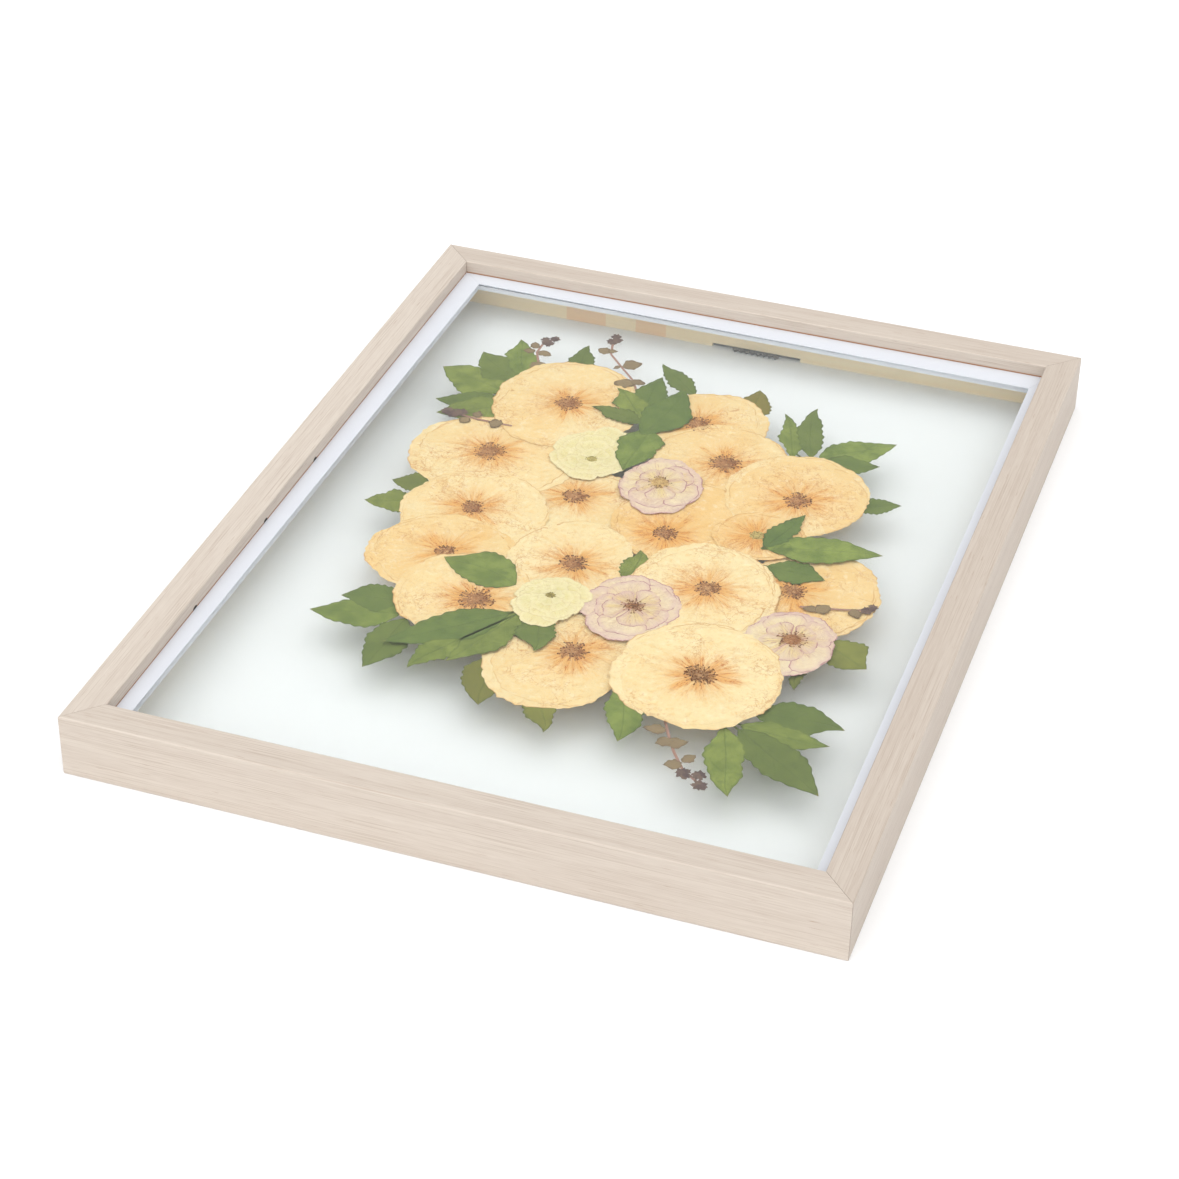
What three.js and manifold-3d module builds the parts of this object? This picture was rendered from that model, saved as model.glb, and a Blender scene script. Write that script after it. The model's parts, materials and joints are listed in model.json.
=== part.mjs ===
// A pressed flower frame: four mitred wood rails hold two panes of glass, and flowers, leaves and bud
// sprigs are pressed between the panes. It lies on its back: +Z is the front, +Y the top edge, where
// the hanger is, and the origin is at the middle of the back face. Millimetres.

import * as THREE from 'three';
import { mergeVertices } from 'three/addons/utils/BufferGeometryUtils.js';
import Module from 'manifold-3d';

const wasm = await Module();
wasm.setup();

// ---- Driving dimensions ----------------------------------------------------------------------------

const FRAME_WIDTH = 327;
const FRAME_LENGTH = 427;
const FRAME_HEIGHT = 28.5;
const RAIL_FACE = 14.5; // width of a rail seen from the front
const LIP_THICKNESS = 6.4; // the lip that laps over the glass
const RABBET_DEPTH = 6; // how far the lip laps past the rail's wall
const EDGE_ROUND = 0.6;
const MITRE_GAP = 0.1; // hairline left on each side of a mitre

const GLASS_WIDTH = 305; // a 12 by 16 inch pane
const GLASS_LENGTH = 406;
const GLASS_THICKNESS = 2;
const GLASS_GAP = 2.4; // the room that the pressed flowers take between the panes

// The inner corners of the white strips that edge the flowers, from the top left one clockwise. The
// strips were laid by hand, so the corners aren't square.
const BORDER_CORNERS = [[-138.8, 190.4], [144, 186.8], [144, -193], [-141.8, -193]];
const SPACER_CORNERS = [[-139.4, 190.8], [144.7, 188.4], [144.7, -193.7], [-142.4, -193.7]];
const BORDER_THICKNESS = 0.5;
const STRIP_FIT = 0.3; // a strip stops this short of the rail's wall
const STRIP_MITRE_GAP = 0.05; // and this short of the mitre line at each of its ends
const LAYER_FIT = 0.05; // between the layers of the stack

const HANGER = { x: 3.5, length: 45, toothedLength: 24, teeth: 8, toothDepth: 2, thickness: 1 };
const HANGER_TIP_Y = 202; // the teeth show past the wall of the top rail
const HANGER_END_Y = 205.5; // and the plain ends stay behind it
const HANGER_BACK_Y = 211;
const HANGER_POCKET_FIT = 0.4;
const HANGER_LIFT = 0.6; // keeps the hanger off the surface that the frame lies on
const NAIL = { spacing: 38, headRadius: 1.5, shankRadius: 0.6, shankLength: 6, headHeight: 0.4 };
const NAIL_FIT = 0.3;
const NAIL_SEAT_DEPTH = 0.5; // the plate is dimpled round each nail, so that the head sits flush

const LEVEL_PITCH = 0.25; // flowers that overlap lie on different levels between the panes
const PETAL_THICKNESS = 0.2;
const PETAL_CLEARANCE = 0.1;
const FLOWER_POINTS = 36;
const STALK_WIDTH = 1.2;

// ---- Heights worked out from them --------------------------------------------------------------------

const LIP_UNDERSIDE = FRAME_HEIGHT - LIP_THICKNESS;
const SIGHT_X = FRAME_WIDTH / 2 - RAIL_FACE; // half the opening seen from the front
const SIGHT_Y = FRAME_LENGTH / 2 - RAIL_FACE;
const WALL_X = SIGHT_X + RABBET_DEPTH; // half the opening behind the lip
const WALL_Y = SIGHT_Y + RABBET_DEPTH;
const BORDER_Z = LIP_UNDERSIDE - LAYER_FIT - BORDER_THICKNESS;
const FRONT_GLASS_Z = BORDER_Z - LAYER_FIT - GLASS_THICKNESS;
const BACK_GLASS_Z = FRONT_GLASS_Z - GLASS_GAP - GLASS_THICKNESS;
const SPACER_Z = BACK_GLASS_Z + GLASS_THICKNESS + LAYER_FIT;
const SPACER_THICKNESS = GLASS_GAP - 2 * LAYER_FIT;
const FIRST_LEVEL_Z = BACK_GLASS_Z + GLASS_THICKNESS + PETAL_CLEARANCE;

// ---- Materials ---------------------------------------------------------------------------------------

const material = (color, roughness, metalness = 0) =>
  new THREE.MeshStandardMaterial({ color, roughness, metalness });

const paleWood = material('#e1d5c9', 0.6);
const whiteCard = material('#eef0f4', 0.7);
const clearGlass = material('#eef5f2', 0.05);
const darkSteel = material('#3a3a3c', 0.5, 0.8);
const steel = material('#9a9a9c', 0.4, 0.9);
const creamYellow = material('#f8df9f', 0.8);
const apricot = material('#f4c87e', 0.8);
const paleCream = material('#f6eebb', 0.8);
const mauvePink = material('#e0c8c2', 0.8);
const leafGreen = material('#788c50', 0.75);
const olive = material('#82803c', 0.75);
const budBrown = material('#7a6450', 0.85);

// ---- Helpers -----------------------------------------------------------------------------------------

const part = new THREE.Group();

function addMesh(name, geometry, look) {
  const mesh = new THREE.Mesh(geometry, look);
  mesh.name = name;
  part.add(mesh);
  return mesh;
}

function toSolid(geometry) {
  const bare = geometry.index ? geometry.toNonIndexed() : geometry.clone();
  bare.deleteAttribute('normal');
  bare.deleteAttribute('uv');
  const merged = mergeVertices(bare);
  const vertProperties = new Float32Array(merged.attributes.position.array);
  const triVerts = new Uint32Array(merged.index.array);
  return new wasm.Manifold(new wasm.Mesh({ numProp: 3, vertProperties, triVerts }));
}

function toGeometry(solid) {
  const { vertProperties, triVerts, numProp } = solid.getMesh();
  const geometry = new THREE.BufferGeometry();
  geometry.setAttribute('position', new THREE.BufferAttribute(new Float32Array(vertProperties), numProp));
  geometry.setIndex(new THREE.BufferAttribute(new Uint32Array(triVerts), 1));
  return geometry;
}

function boxBetween(low, high) {
  const size = high.map((value, i) => value - low[i]);
  const middle = high.map((value, i) => (value + low[i]) / 2);
  return new THREE.BoxGeometry(...size).translate(...middle);
}

function sheet(points, z, thickness) {
  const shape = new THREE.Shape(points.map(([x, y]) => new THREE.Vector2(x, y)));
  return new THREE.ExtrudeGeometry(shape, { depth: thickness, bevelEnabled: false }).translate(0, 0, z);
}

// ---- Wood rails --------------------------------------------------------------------------------------

// A rail's section, x inward from the outer face and y up: a wall with a lip at the front.
function railSection() {
  const round = EDGE_ROUND;
  const quarter = Math.PI / 2;
  const wall = RAIL_FACE - RABBET_DEPTH;
  const section = new THREE.Shape();
  section.moveTo(0, round);
  section.absarc(round, round, round, 2 * quarter, 3 * quarter, false);
  section.lineTo(wall, 0);
  section.lineTo(wall, LIP_UNDERSIDE);
  section.lineTo(RAIL_FACE, LIP_UNDERSIDE);
  section.absarc(RAIL_FACE - round, FRAME_HEIGHT - round, round, 0, quarter, false);
  section.absarc(round, FRAME_HEIGHT - round, round, quarter, 2 * quarter, false);
  return section;
}

// The section is run along z, and its ends are slid along by their distance from the outer face.
function mitredRail(length, reach) {
  const geometry = new THREE.ExtrudeGeometry(railSection(), {
    depth: length,
    bevelEnabled: false,
    curveSegments: 3,
  });
  const position = geometry.attributes.position;
  for (let i = 0; i < position.count; i += 1) {
    const slide = position.getX(i) + MITRE_GAP;
    position.setZ(i, position.getZ(i) < length / 2 ? slide : length - slide);
  }
  const across = new THREE.Vector3(0, 1, 0);
  const up = new THREE.Vector3(0, 0, 1);
  const along = new THREE.Vector3(1, 0, 0);
  geometry.applyMatrix4(new THREE.Matrix4().makeBasis(across, up, along));
  return geometry.translate(-length / 2, -reach, 0);
}

// Each side of the frame is made as the bottom one, then turned about the middle.
const SIDES = {
  bottom: { turn: 0, length: FRAME_WIDTH, reach: FRAME_LENGTH / 2 },
  right: { turn: 1, length: FRAME_LENGTH, reach: FRAME_WIDTH / 2 },
  top: { turn: 2, length: FRAME_WIDTH, reach: FRAME_LENGTH / 2 },
  left: { turn: 3, length: FRAME_LENGTH, reach: FRAME_WIDTH / 2 },
};

const quarterTurn = (turns) => new THREE.Matrix4().makeRotationZ((turns * Math.PI) / 2);

const hangerX = (side) => HANGER.x + (side * NAIL.spacing) / 2;
const HANGER_MIDDLE_Y = (WALL_Y + HANGER_BACK_Y) / 2;
const POCKET_DEPTH = HANGER_LIFT + HANGER.thickness + HANGER_POCKET_FIT;

// A round hole's cutter on a nail's axis, between two heights.
function nailHole(side, radius, low, high) {
  const cutter = new THREE.CylinderGeometry(radius + NAIL_FIT, radius + NAIL_FIT, high - low, 12);
  return cutter.rotateX(Math.PI / 2).translate(hangerX(side), HANGER_MIDDLE_Y, (low + high) / 2);
}

// The top rail has a shallow pocket in its back for the hanger, with two nail holes in it.
function cutHangerPocket(geometry) {
  const halfLength = HANGER.length / 2 + HANGER_POCKET_FIT;
  const low = [HANGER.x - halfLength, WALL_Y - 1, -1];
  const high = [HANGER.x + halfLength, HANGER_BACK_Y + HANGER_POCKET_FIT, POCKET_DEPTH];
  let rail = toSolid(geometry).subtract(toSolid(boxBetween(low, high)));
  for (const side of [-1, 1]) {
    rail = rail.subtract(toSolid(nailHole(side, NAIL.shankRadius, 0, NAIL.shankLength + 2)));
  }
  return toGeometry(rail);
}

for (const [side, { turn, length, reach }] of Object.entries(SIDES)) {
  const rail = mitredRail(length, reach).applyMatrix4(quarterTurn(turn));
  addMesh(`rail_${side}`, side === 'top' ? cutHangerPocket(rail) : rail, paleWood);
}

// ---- White strips ------------------------------------------------------------------------------------

// Thin border strips lie between the lip and the front pane, and thicker spacer strips between the
// panes. They meet in mitres, from the corner of the rails' walls to their own inner corner.
const STRIP_OUTER_CORNERS = [[-1, 1], [1, 1], [1, -1], [-1, -1]].map(([x, y]) => [
  x * (WALL_X - STRIP_FIT),
  y * (WALL_Y - STRIP_FIT),
]);
const STRIP_SIDES = ['top', 'right', 'bottom', 'left'];

// Moves a corner point of a strip along the strip, towards its other end.
function shortOfMitre(point, other) {
  const length = Math.hypot(other[0] - point[0], other[1] - point[1]);
  return point.map((value, i) => value + ((other[i] - value) / length) * STRIP_MITRE_GAP);
}

function addStrips(prefix, corners, z, thickness) {
  STRIP_SIDES.forEach((side, i) => {
    const next = (i + 1) % corners.length;
    const [outerStart, outerEnd] = [STRIP_OUTER_CORNERS[i], STRIP_OUTER_CORNERS[next]];
    const [innerStart, innerEnd] = [corners[i], corners[next]];
    const outline = [
      shortOfMitre(outerEnd, outerStart),
      shortOfMitre(outerStart, outerEnd),
      shortOfMitre(innerStart, innerEnd),
      shortOfMitre(innerEnd, innerStart),
    ];
    addMesh(`${prefix}_${side}`, sheet(outline, z, thickness), whiteCard);
  });
}

addStrips('border_strip', BORDER_CORNERS, BORDER_Z, BORDER_THICKNESS);
addStrips('spacer_strip', SPACER_CORNERS, SPACER_Z, SPACER_THICKNESS);

// ---- Glass panes -------------------------------------------------------------------------------------

for (const [name, z] of [['front_glass', FRONT_GLASS_Z], ['back_glass', BACK_GLASS_Z]]) {
  const low = [-GLASS_WIDTH / 2, -GLASS_LENGTH / 2, z];
  const high = [GLASS_WIDTH / 2, GLASS_LENGTH / 2, z + GLASS_THICKNESS];
  addMesh(name, boxBetween(low, high), clearGlass);
}

// ---- Hanger and its nails ----------------------------------------------------------------------------

// A steel plate whose middle steps out to a row of teeth that a nail in the wall catches.
function hangerPlate() {
  const points = [
    [-HANGER.length / 2, HANGER_BACK_Y],
    [-HANGER.length / 2, HANGER_END_Y],
    [-HANGER.toothedLength / 2, HANGER_END_Y],
  ];
  const pitch = HANGER.toothedLength / HANGER.teeth;
  for (let i = 0; i < HANGER.teeth; i += 1) {
    const start = -HANGER.toothedLength / 2 + i * pitch;
    points.push([start, HANGER_TIP_Y + HANGER.toothDepth]);
    points.push([start + pitch / 2, HANGER_TIP_Y]);
  }
  points.push([HANGER.toothedLength / 2, HANGER_TIP_Y + HANGER.toothDepth]);
  points.push([HANGER.toothedLength / 2, HANGER_END_Y]);
  points.push([HANGER.length / 2, HANGER_END_Y]);
  points.push([HANGER.length / 2, HANGER_BACK_Y]);
  let plate = toSolid(sheet(points, HANGER_LIFT, HANGER.thickness).translate(HANGER.x, 0, 0));
  for (const side of [-1, 1]) {
    plate = plate.subtract(toSolid(nailHole(side, NAIL.shankRadius, -1, POCKET_DEPTH + 1)));
    plate = plate.subtract(toSolid(nailHole(side, NAIL.headRadius, -1, HANGER_LIFT + NAIL_SEAT_DEPTH)));
  }
  return toGeometry(plate);
}

addMesh('hanger', hangerPlate(), darkSteel);

// A nail turned about its own axis, head down at the back of the frame.
for (const [name, side] of [['hanger_nail_left', -1], ['hanger_nail_right', 1]]) {
  const profile = [
    [0, 0],
    [NAIL.headRadius, 0],
    [NAIL.headRadius, NAIL.headHeight],
    [NAIL.shankRadius, NAIL.headHeight],
    [NAIL.shankRadius, NAIL.shankLength],
    [0, NAIL.shankLength],
  ].map(([radius, height]) => new THREE.Vector2(radius, height));
  const nail = new THREE.LatheGeometry(profile, 12).rotateX(Math.PI / 2);
  addMesh(name, nail.translate(hangerX(side), HANGER_MIDDLE_Y, HANGER_LIFT), steel);
}

// ---- Pressed flowers ---------------------------------------------------------------------------------

// The tables of flowers, leaves and sprigs are one layout, which is put in its place here.
const LAYOUT = { x: 2.4, y: -7.4, scale: 0.993 };

const levelZ = (level) => FIRST_LEVEL_Z + level * LEVEL_PITCH;

function pressedSheet(outline, level) {
  const placed = outline.map(([x, y]) => [LAYOUT.x + x * LAYOUT.scale, LAYOUT.y + y * LAYOUT.scale]);
  return sheet(placed, levelZ(level), PETAL_THICKNESS);
}

// One flower: the middle of its outline, its two half sizes, and the level where it lies.
// Its rim waves gently, and a ruffled one has more and deeper waves.
const FLOWERS = [
  { name: 'rose_1', x: -62, y: 108, rx: 34, ry: 40, level: 2, look: creamYellow },
  { name: 'rose_2', x: -80, y: 53, rx: 37, ry: 33, level: 1, look: creamYellow },
  { name: 'rose_3', x: -72, y: 6, rx: 35, ry: 35, level: 2, look: creamYellow },
  { name: 'rose_4', x: -71, y: -31, rx: 32, ry: 30, level: 3, look: apricot },
  { name: 'rose_5', x: -51, y: -59, rx: 31, ry: 33, level: 5, look: creamYellow },
  { name: 'rose_6', x: -17, y: -18, rx: 29, ry: 34, level: 4, look: creamYellow },
  { name: 'rose_7', x: -25, y: 29, rx: 27, ry: 24, level: 0, look: creamYellow },
  { name: 'rose_8', x: 25, y: 27, rx: 34, ry: 33, level: 3, look: apricot },
  { name: 'rose_9', x: 22, y: 82, rx: 31, ry: 33, level: 2, look: apricot },
  { name: 'rose_10', x: 6, y: 115, rx: 27, ry: 29, level: 1, look: creamYellow },
  { name: 'rose_11', x: 63, y: 67, rx: 34, ry: 37, level: 4, look: apricot },
  { name: 'rose_12', x: 56, y: 30, rx: 17, ry: 15, level: 5, look: apricot },
  { name: 'rose_13', x: 46, y: -20, rx: 31, ry: 37, level: 6, look: creamYellow },
  { name: 'rose_14', x: 88, y: -5, rx: 26, ry: 28, level: 1, look: apricot },
  { name: 'rose_15', x: 62, y: -80, rx: 37, ry: 39, level: 8, look: creamYellow },
  { name: 'rose_16', x: 4, y: -86, rx: 31, ry: 37, level: 1, look: creamYellow },
  { name: 'ranunculus_1', x: -36, y: 70, rx: 20, ry: 22, level: 4, look: paleCream },
  { name: 'ranunculus_2', x: -14, y: -51, rx: 18, ry: 20, level: 8, look: paleCream },
  { name: 'pink_flower_1', x: 2, y: 55, rx: 20, ry: 23, level: 6, look: mauvePink },
  { name: 'pink_flower_2', x: 22, y: -43, rx: 22, ry: 25, level: 7, look: mauvePink },
  { name: 'pink_flower_3', x: 90, y: -46, rx: 23, ry: 27, level: 7, look: mauvePink },
];
const RIM_WAVE = 0.02; // share of the radius
const RIM_WAVES = 5;

function flowerOutline({ x, y, rx, ry }, seed) {
  const points = [];
  for (let i = 0; i < FLOWER_POINTS; i += 1) {
    const angle = (i / FLOWER_POINTS) * 2 * Math.PI;
    const wave = 1 - RIM_WAVE * (1 + Math.cos(RIM_WAVES * angle + seed * 2));
    points.push([x + rx * wave * Math.cos(angle), y + ry * wave * Math.sin(angle)]);
  }
  return points;
}

FLOWERS.forEach((flower, i) => {
  addMesh(flower.name, pressedSheet(flowerOutline(flower, i), flower.level), flower.look);
});

// ---- Pressed leaves and sprigs -----------------------------------------------------------------------

// A leaflet from its base to its tip, widest a little before the middle, as on most leaves.
const LEAF_PROFILE = [[0.06, 0.35], [0.2, 0.8], [0.38, 1], [0.58, 0.88], [0.78, 0.52], [0.92, 0.2]];

function leafletOutline([baseX, baseY, tipX, tipY, halfWidth]) {
  const length = Math.hypot(tipX - baseX, tipY - baseY);
  const along = [(tipX - baseX) / length, (tipY - baseY) / length];
  const place = (share, offset) => [
    baseX + along[0] * share * length - along[1] * offset,
    baseY + along[1] * share * length + along[0] * offset,
  ];
  const right = LEAF_PROFILE.map(([share, width]) => place(share, -width * halfWidth));
  const left = LEAF_PROFILE.map(([share, width]) => place(share, width * halfWidth)).reverse();
  return [place(0, 0), ...right, place(1, 0), ...left];
}

// A straight piece of stalk between two points.
function stalkOutline([startX, startY], [endX, endY]) {
  const length = Math.hypot(endX - startX, endY - startY);
  const sideX = (-(endY - startY) / length) * (STALK_WIDTH / 2);
  const sideY = ((endX - startX) / length) * (STALK_WIDTH / 2);
  return [
    [startX + sideX, startY + sideY],
    [startX - sideX, startY - sideY],
    [endX - sideX, endY - sideY],
    [endX + sideX, endY + sideY],
  ];
}

function joinOutlines(outlines, level) {
  const sheets = outlines.map((outline) => toSolid(pressedSheet(outline, level)));
  return toGeometry(sheets.reduce((whole, piece) => whole.add(piece)));
}

// One leaf: the point where its stalks meet, and its leaflets as base x, y, tip x, y, half width.
const LEAVES = [
  {
    name: 'leaf_top_left', level: 0, look: leafGreen, hub: [-80, 116],
    leaflets: [
      [-94, 109, -131, 122, 13], [-92, 121, -119, 140, 10], [-90, 126, -103, 160, 7],
      [-92, 101, -123, 90, 8], [-88, 98, -118, 79, 10], [-65, 132, -73, 165, 6],
    ],
  },
  { name: 'leaf_top_middle', level: 0, look: leafGreen, hub: [-6, 136], leaflets: [[-8, 138, -33, 160, 5]] },
  { name: 'leaf_top_brown', level: 0, look: olive, hub: [22, 122], leaflets: [[22, 125, 21, 154, 8]] },
  {
    name: 'leaf_centre', level: 5, look: leafGreen, hub: [-18, 102],
    leaflets: [
      [-21, 105, -28, 145, 8], [-16, 103, -13, 137, 9], [-21, 98, -47, 106, 6],
      [-17, 99, -20, 62, 9], [-22, 104, -42, 133, 8],
    ],
  },
  {
    name: 'leaf_top_right', level: 0, look: leafGreen, hub: [62, 98],
    leaflets: [[52, 100, 39, 138, 5], [60, 103, 49, 147, 6], [63, 105, 95, 128, 9], [66, 101, 92, 106, 7]],
  },
  { name: 'leaf_right_edge', level: 0, look: leafGreen, hub: [86, 66], leaflets: [[89, 69, 109, 79, 6]] },
  {
    name: 'leaf_right', level: 7, look: leafGreen, hub: [60, 20],
    leaflets: [[61, 21, 72, 53, 5], [62, 21, 112, 34, 10]],
  },
  { name: 'leaf_right_small', level: 3, look: leafGreen, hub: [64, 9], leaflets: [[66, 9, 93, 8, 8]] },
  {
    name: 'leaf_right_low', level: 0, look: olive, hub: [98, -38],
    leaflets: [[103, -37, 126, -50, 10], [97, -44, 101, -74, 4]],
  },
  {
    name: 'leaf_bottom_right', level: 2, look: leafGreen, hub: [82, -104],
    leaflets: [
      [90, -94, 129, -92, 10], [88, -105, 126, -108, 8], [88, -108, 131, -138, 10], [82, -108, 95, -152, 8],
    ],
  },
  {
    name: 'leaf_bottom_middle', level: 7, look: leafGreen, hub: [34, -95],
    leaflets: [[35, -98, 46, -134, 8]],
  },
  {
    name: 'leaf_bottom_left', level: 0, look: olive, hub: [-12, -94],
    leaflets: [[-17, -98, -18, -130, 9], [0, -108, 16, -136, 6]],
  },
  {
    name: 'leaf_left_low', level: 6, look: leafGreen, hub: [-21, -60],
    leaflets: [
      [-23, -62, -39, -107, 10], [-27, -65, -70, -104, 10], [-40, -90, -55, -116, 6], [-15, -62, -6, -87, 8],
    ],
  },
  {
    name: 'leaf_left_back', level: 0, look: leafGreen, hub: [-68, -76],
    leaflets: [[-68, -82, -71, -121, 9], [-71, -79, -109, -91, 10], [-72, -70, -101, -74, 9]],
  },
  { name: 'leaf_oval', level: 6, look: leafGreen, hub: [-33, -44], leaflets: [[-34, -43, -67, -39, 14]] },
  {
    name: 'leaf_left_middle', level: 0, look: leafGreen, hub: [-92, 14],
    leaflets: [[-98, 21, -115, 16, 7], [-98, 6, -120, -4, 8]],
  },
  { name: 'leaf_small_centre', level: 5, look: leafGreen, hub: [13, -24], leaflets: [[13, -22, 13, -2, 5]] },
];

for (const { name, level, look, hub, leaflets } of LEAVES) {
  const stalks = leaflets.map(([baseX, baseY, tipX, tipY]) =>
    stalkOutline(hub, [baseX + (tipX - baseX) * 0.2, baseY + (tipY - baseY) * 0.2]),
  );
  addMesh(name, joinOutlines([...leaflets.map(leafletOutline), ...stalks], level), look);
}

// One sprig: the bends of its stem, and its round leaves and buds as x, y, half size.
const SPRIG_LEAF_POINTS = 10;
const SPRIGS = [
  {
    name: 'sprig_top_left', level: 1, stem: [[-84, 136], [-89, 141], [-93, 150], [-93, 158], [-89, 165]],
    leaves: [[-88, 138, 4], [-89, 150, 4], [-96, 150, 3], [-95, 157, 4], [-90, 159, 3], [-91, 164, 4]],
  },
  {
    name: 'sprig_top', level: 3,
    stem: [[-34, 129], [-40, 140], [-50, 151], [-58, 160], [-60, 168], [-61, 178]],
    leaves: [[-41, 136, 5], [-45, 154, 5], [-51, 149, 2], [-62, 162, 4], [-62, 172, 3], [-60, 177, 3]],
  },
  {
    name: 'sprig_left', level: 3, stem: [[-72, 76], [-80, 80], [-98, 80], [-112, 82]],
    leaves: [[-88, 79, 4], [-99, 83, 3], [-103, 77, 3], [-107, 83, 4], [-113, 82, 4]],
  },
  {
    name: 'sprig_right', level: 4, stem: [[88, -16], [98, -14], [109, -11], [118, -8]],
    leaves: [[93, -16, 4], [99, -14, 4], [112, -12, 4], [117, -8, 3]],
  },
  {
    name: 'sprig_bottom', level: 1, stem: [[58, -112], [62, -120], [68, -131], [75, -141], [85, -148]],
    leaves: [
      [56, -119, 5], [65, -125, 6], [75, -133, 4], [70, -139, 4], [76, -143, 4], [82, -142, 3], [84, -148, 4],
    ],
  },
];

function nearestStemPoint(stem, [x, y]) {
  const line = new THREE.Line3();
  const point = new THREE.Vector3(x, y, 0);
  let nearest = null;
  for (let i = 1; i < stem.length; i += 1) {
    line.set(new THREE.Vector3(...stem[i - 1], 0), new THREE.Vector3(...stem[i], 0));
    const candidate = line.closestPointToPoint(point, true, new THREE.Vector3());
    if (!nearest || candidate.distanceTo(point) < nearest.distanceTo(point)) {
      nearest = candidate;
    }
  }
  return [nearest.x, nearest.y];
}

function roundOutline(x, y, radius) {
  const points = [];
  for (let i = 0; i < SPRIG_LEAF_POINTS; i += 1) {
    const angle = (i / SPRIG_LEAF_POINTS) * 2 * Math.PI;
    points.push([x + radius * Math.cos(angle), y + radius * Math.sin(angle)]);
  }
  return points;
}

for (const { name, level, stem, leaves } of SPRIGS) {
  const outlines = [];
  for (let i = 1; i < stem.length; i += 1) {
    outlines.push(stalkOutline(stem[i - 1], stem[i]));
    outlines.push(roundOutline(...stem[i], STALK_WIDTH / 2));
  }
  for (const [x, y, radius] of leaves) {
    const [stemX, stemY] = nearestStemPoint(stem, [x, y]);
    if (Math.hypot(stemX - x, stemY - y) > 0.5) {
      outlines.push(stalkOutline([stemX, stemY], [x, y]));
    }
    outlines.push(roundOutline(x, y, radius));
  }
  addMesh(name, joinOutlines(outlines, level), budBrown);
}

export default part;
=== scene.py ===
# %% [markdown]
# # A pressed flower frame
# Pale wood rails hold two panes of clear glass. Between the panes lie pressed roses, two cream
# ranunculus, three dusty pink flowers, leaves and brown bud sprigs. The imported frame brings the
# wood, strips, glass and hanger at their real size, so this lesson makes their finishes, and it
# makes each flower, leaf and sprig again as thin, wrinkled sheets in the place of its plain solid.

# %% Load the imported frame
import json
import math
import random

import bmesh
import bpy
from mathutils import Matrix, Vector, noise

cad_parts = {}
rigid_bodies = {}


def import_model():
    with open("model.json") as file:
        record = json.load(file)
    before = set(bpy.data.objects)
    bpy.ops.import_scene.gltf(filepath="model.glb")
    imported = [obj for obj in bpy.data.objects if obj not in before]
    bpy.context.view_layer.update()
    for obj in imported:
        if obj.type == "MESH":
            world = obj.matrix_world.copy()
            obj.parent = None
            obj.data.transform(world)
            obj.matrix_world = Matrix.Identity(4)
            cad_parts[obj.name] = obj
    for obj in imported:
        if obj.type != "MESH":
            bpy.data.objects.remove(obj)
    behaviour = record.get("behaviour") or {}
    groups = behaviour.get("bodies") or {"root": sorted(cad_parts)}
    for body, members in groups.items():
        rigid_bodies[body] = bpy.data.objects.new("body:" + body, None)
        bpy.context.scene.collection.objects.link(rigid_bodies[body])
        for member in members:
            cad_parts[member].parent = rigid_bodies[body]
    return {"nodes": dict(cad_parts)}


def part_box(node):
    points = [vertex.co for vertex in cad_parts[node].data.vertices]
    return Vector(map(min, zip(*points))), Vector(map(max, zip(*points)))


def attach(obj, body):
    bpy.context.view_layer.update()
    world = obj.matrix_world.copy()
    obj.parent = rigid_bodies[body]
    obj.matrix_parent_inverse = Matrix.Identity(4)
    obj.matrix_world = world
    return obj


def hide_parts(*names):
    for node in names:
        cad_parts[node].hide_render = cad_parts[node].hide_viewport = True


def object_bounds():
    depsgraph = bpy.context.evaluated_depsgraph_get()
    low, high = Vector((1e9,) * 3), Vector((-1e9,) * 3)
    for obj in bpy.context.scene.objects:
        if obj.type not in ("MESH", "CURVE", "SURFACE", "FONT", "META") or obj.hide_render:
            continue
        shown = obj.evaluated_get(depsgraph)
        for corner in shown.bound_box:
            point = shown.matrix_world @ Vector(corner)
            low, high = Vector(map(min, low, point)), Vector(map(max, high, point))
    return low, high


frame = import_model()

MM = 0.001
CAD_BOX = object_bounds()
print("packed box in mm:", [[round(value / MM, 1) for value in corner] for corner in CAD_BOX])

# %% [markdown]
# ## Camera
# A long lens from the front right, looking down on the frame as it lies on a table. The lens is
# worked out from the picture's side in pixels, and the camera is turned, dipped and rolled in that
# order, which one product of rotations says more plainly than three Euler angles.

# %% Camera
IMAGE_SIDE = 1179
FOCAL_PIXELS = 2910.0
SENSOR_WIDTH = 36.0
CAMERA_PLACE = Vector((0.3295, -1.0191, 0.7317))
CAMERA_TURN = math.radians(18.58)
CAMERA_DIP = math.radians(34.67)
CAMERA_ROLL = math.radians(1.07)

camera_data = bpy.data.cameras.new("camera")
camera_data.sensor_width = SENSOR_WIDTH
camera_data.lens = FOCAL_PIXELS / IMAGE_SIDE * SENSOR_WIDTH
camera = bpy.data.objects.new("camera", camera_data)
camera.matrix_world = (
    Matrix.Translation(CAMERA_PLACE)
    @ Matrix.Rotation(CAMERA_TURN, 4, "Z")
    @ Matrix.Rotation(math.radians(90) - CAMERA_DIP, 4, "X")
    @ Matrix.Rotation(CAMERA_ROLL, 4, "Z")
)
bpy.context.collection.objects.link(camera)
bpy.context.scene.camera = camera
print("lens:", round(camera_data.lens, 1), "mm")

# %% [markdown]
# ## Short ways to build a finish
# Every finish here is a node tree. These helpers add one node each and hand back its output, so a
# recipe reads like a sum. Plain numbers that never change are set on the sockets themselves.


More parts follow.
